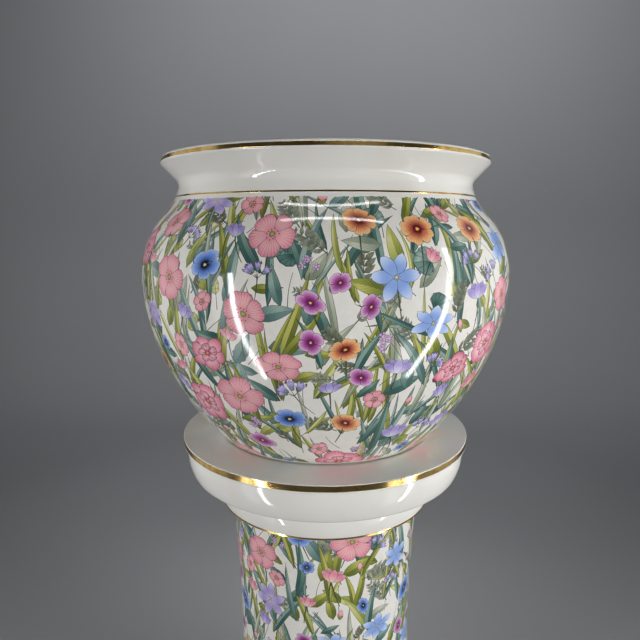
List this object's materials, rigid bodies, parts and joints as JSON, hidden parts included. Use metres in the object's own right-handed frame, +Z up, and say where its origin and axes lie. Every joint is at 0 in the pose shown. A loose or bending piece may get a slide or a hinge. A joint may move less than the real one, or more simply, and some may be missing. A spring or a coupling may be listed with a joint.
{
  "type": "jardiniere on stand",
  "caption": "Floor planter set: a fish-bowl jardiniere with a wide flared lip, floral print and gilded bands, standing loose on a round waisted pedestal.",
  "frame": {"origin": "on the floor at the centre of the stand", "axes": "+Z up along the axis that every piece is turned about, -Y towards the viewer of the picture"},
  "size_m": [0.4611, 0.4612, 0.9184],
  "materials": {
    "white_glaze": "clear gloss glaze on white porcelain",
    "printed_glaze": "floral transfer print fired into a gloss glaze",
    "gilding": "bright burnished gold lustre",
    "felt": "pressed wool felt",
    "bedding_cement": "matt plaster cement"
  },
  "bodies": {
    "stand": {"foot_pads": "felt", "stand_plinth": "white_glaze", "base_moulding": "white_glaze", "stand_column": "white_glaze", "capital_moulding": "white_glaze", "stand_top_disc": "white_glaze", "column_print": "printed_glaze", "upper_joint_bed": "bedding_cement", "lower_joint_bed": "bedding_cement", "top_disc_gilding": "gilding", "plinth_gilding": "gilding", "capital_ring_gilding": "gilding", "base_ring_gilding": "gilding"},
    "mat": {"bowl_mat": "felt"},
    "bowl": {"jardiniere_bowl": "white_glaze", "bowl_print": "printed_glaze", "neck_gilding": "gilding", "lip_gilding": "gilding"}
  },
  "joints": [
    {"name": "bowl_turn", "type": "hinge", "parent": "stand", "child": "mat", "pos_m": [0, 0, 0.57], "axis": [0, 0, 1], "continuous": true},
    {"name": "bowl_lift", "type": "slide", "parent": "mat", "child": "bowl", "axis": [0, 0, 1], "range_m": [0, 0.12]}
  ]
}
